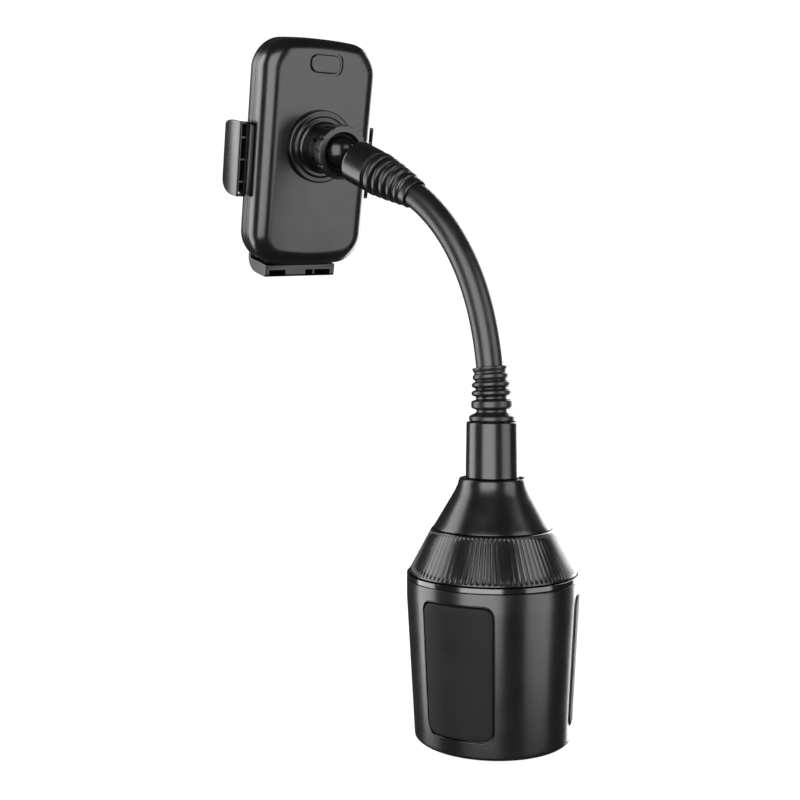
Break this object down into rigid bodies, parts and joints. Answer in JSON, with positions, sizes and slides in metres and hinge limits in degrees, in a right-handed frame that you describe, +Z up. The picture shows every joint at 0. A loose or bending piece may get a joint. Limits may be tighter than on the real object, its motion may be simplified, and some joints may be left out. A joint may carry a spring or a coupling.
{
  "type": "car phone mount",
  "caption": "Cup-holder phone mount: an expanding tapered base with a ribbed dial, a bending gooseneck and a spring-arm cradle on a ball joint.",
  "frame": {"origin": "centre of the base's underside", "axes": "+Z up along the base; the phone screen faces -Y; +X is to the right of a person looking at the screen"},
  "size_m": [0.1033, 0.1816, 0.3172],
  "materials": {
    "moulded_plastic": "satin black moulded, fine grain",
    "gloss_plastic": "polished black",
    "rubber": "soft matte black",
    "inner_plastic": "plain dark moulded",
    "steel": "plain plated"
  },
  "bodies": {
    "base": {"cup_shell": "moulded_plastic", "base_foot_pad": "rubber", "base_floor_screw": "steel", "centre_post": "inner_plastic", "trim_ring": "gloss_plastic", "cone_cap": "moulded_plastic"},
    "dial": {"dial_ring": "moulded_plastic", "scroll_plate": "inner_plastic", "dial_screw_1": "steel", "dial_screw_2": "steel", "dial_screw_3": "steel"},
    "grip_1": {"grip_pad_1": "rubber", "pad_carrier_1": "inner_plastic"},
    "grip_2": {"grip_pad_2": "rubber", "pad_carrier_2": "inner_plastic"},
    "grip_3": {"grip_pad_3": "rubber", "pad_carrier_3": "inner_plastic"},
    "neck_root": {"neck_sleeve": "moulded_plastic", "lower_boot": "rubber", "gooseneck_cover_0": "rubber", "gooseneck_core_0": "steel"},
    "neck_link_1": {"gooseneck_cover_1": "rubber", "gooseneck_core_1": "steel"},
    "neck_link_2": {"gooseneck_cover_2": "rubber", "gooseneck_core_2": "steel"},
    "neck_link_3": {"gooseneck_cover_3": "rubber", "gooseneck_core_3": "steel"},
    "neck_tip": {"gooseneck_cover_4": "rubber", "gooseneck_core_4": "steel", "upper_boot": "rubber", "end_ferrule": "moulded_plastic"},
    "ball": {"ball_stud": "gloss_plastic"},
    "socket_liner": {"friction_cup": "inner_plastic"},
    "cradle": {"ball_socket": "moulded_plastic", "socket_screw_1": "steel", "socket_screw_2": "steel", "back_cover": "moulded_plastic", "front_cover": "moulded_plastic", "front_pad": "rubber", "case_screw_1": "steel", "case_screw_2": "steel", "case_screw_3": "steel", "case_screw_4": "steel", "pinion_axle": "steel", "arm_spring_right": "steel", "arm_spring_left": "steel", "button_spring": "steel", "latch_pin": "steel", "foot_detent_spring": "steel"},
    "nut": {"lock_nut": "moulded_plastic"},
    "right_grip": {"right_arm": "moulded_plastic", "right_arm_pad": "rubber"},
    "left_grip": {"left_arm": "moulded_plastic", "left_arm_pad": "rubber"},
    "gear": {"pinion": "inner_plastic"},
    "foot": {"foot": "moulded_plastic", "foot_pad": "rubber"},
    "button": {"release_button": "moulded_plastic"},
    "latch": {"latch_lever": "inner_plastic"}
  },
  "joints": [
    {"name": "dial_twist", "type": "hinge", "parent": "base", "child": "dial", "pos_m": [0, 0, 0.079], "axis": [0, 0, 1], "range_deg": [0, 100]},
    {"name": "pad_1_slide", "type": "slide", "parent": "base", "child": "grip_1", "axis": [0.891, 0.454, 0], "range_m": [0, 0.008]},
    {"name": "pad_2_slide", "type": "slide", "parent": "base", "child": "grip_2", "axis": [-0.8387, 0.5446, 0], "range_m": [0, 0.008]},
    {"name": "pad_3_slide", "type": "slide", "parent": "base", "child": "grip_3", "axis": [-0.0523, -0.9986, 0], "range_m": [0, 0.008]},
    {"name": "neck_turn", "type": "hinge", "parent": "base", "child": "neck_root", "pos_m": [0, 0, 0.11], "axis": [0, 0, 1], "range_deg": [-180, 180]},
    {"name": "neck_bend_1", "type": "hinge", "parent": "neck_root", "child": "neck_link_1", "pos_m": [0.00089, -0.00248, 0.16786], "axis": [0.9415, 0.3371, 0], "range_deg": [-13, 8]},
    {"name": "neck_bend_2", "type": "hinge", "parent": "neck_link_1", "child": "neck_link_2", "pos_m": [0.00273, -0.00763, 0.18914], "axis": [0.9415, 0.3371, 0], "range_deg": [-13, 8]},
    {"name": "neck_bend_3", "type": "hinge", "parent": "neck_link_2", "child": "neck_link_3", "pos_m": [0.00587, -0.01639, 0.20903], "axis": [0.9415, 0.3371, 0], "range_deg": [-13, 8]},
    {"name": "neck_bend_4", "type": "hinge", "parent": "neck_link_3", "child": "neck_tip", "pos_m": [0.01044, -0.02916, 0.22628], "axis": [0.9415, 0.3371, 0], "range_deg": [-13, 8]},
    {"name": "ball_swivel", "type": "hinge", "parent": "neck_tip", "child": "ball", "pos_m": [0.02872, -0.08021, 0.25869], "axis": [-0.2977, 0.8314, -0.4693], "continuous": true},
    {"name": "ball_tilt", "type": "hinge", "parent": "ball", "child": "socket_liner", "pos_m": [0.02872, -0.08021, 0.25869], "axis": [0.5892, -0.2268, -0.7755], "range_deg": [-59, 16]},
    {"name": "cradle_spin", "type": "hinge", "parent": "socket_liner", "child": "cradle", "pos_m": [0.02872, -0.08021, 0.25869], "axis": [0, 0.9598, -0.2807], "continuous": true},
    {"name": "lock_nut_turn", "type": "hinge", "parent": "cradle", "child": "nut", "pos_m": [0.02872, -0.08021, 0.25869], "axis": [0, 0.9598, -0.2807], "range_deg": [0, 360]},
    {"name": "right_arm_slide", "type": "slide", "parent": "cradle", "child": "right_grip", "axis": [0.9978, -0.0186, -0.0636], "range_m": [0, 0.016], "deforming": ["arm_spring_right", "arm_spring_left"]},
    {"name": "left_arm_slide", "type": "slide", "parent": "cradle", "child": "left_grip", "axis": [-0.9978, 0.0186, 0.0636], "range_m": [0, 0.016]},
    {"name": "pinion_spin", "type": "hinge", "parent": "cradle", "child": "gear", "pos_m": [0.02812, -0.11152, 0.25849], "axis": [0, 0.9598, -0.2807], "range_deg": [0, 192]},
    {"name": "foot_slide", "type": "slide", "parent": "cradle", "child": "foot", "axis": [-0.0663, -0.28, -0.9577], "range_m": [0, 0.015]},
    {"name": "release_button_press", "type": "slide", "parent": "cradle", "child": "button", "axis": [0, -0.9598, 0.2807], "range_m": [0, 0.0018], "stiffness_N_per_m": 400, "springref_m": -0.001, "deforming": ["button_spring"]},
    {"name": "latch_rock", "type": "hinge", "parent": "cradle", "child": "latch", "pos_m": [0.02945, -0.10036, 0.27602], "axis": [0.9978, -0.0186, -0.0636], "range_deg": [0, 3.9]}
  ],
  "couplings": [
    {"joint": "pad_1_slide", "follows": "dial_twist", "m_per_rad": 0.0045837},
    {"joint": "pad_2_slide", "follows": "dial_twist", "m_per_rad": 0.0045837},
    {"joint": "pad_3_slide", "follows": "dial_twist", "m_per_rad": 0.0045837},
    {"joint": "left_arm_slide", "follows": "right_arm_slide", "ratio": 1},
    {"joint": "pinion_spin", "follows": "right_arm_slide", "rad_per_m": 208.33},
    {"joint": "latch_rock", "follows": "release_button_press", "rad_per_m": 35.714}
  ]
}
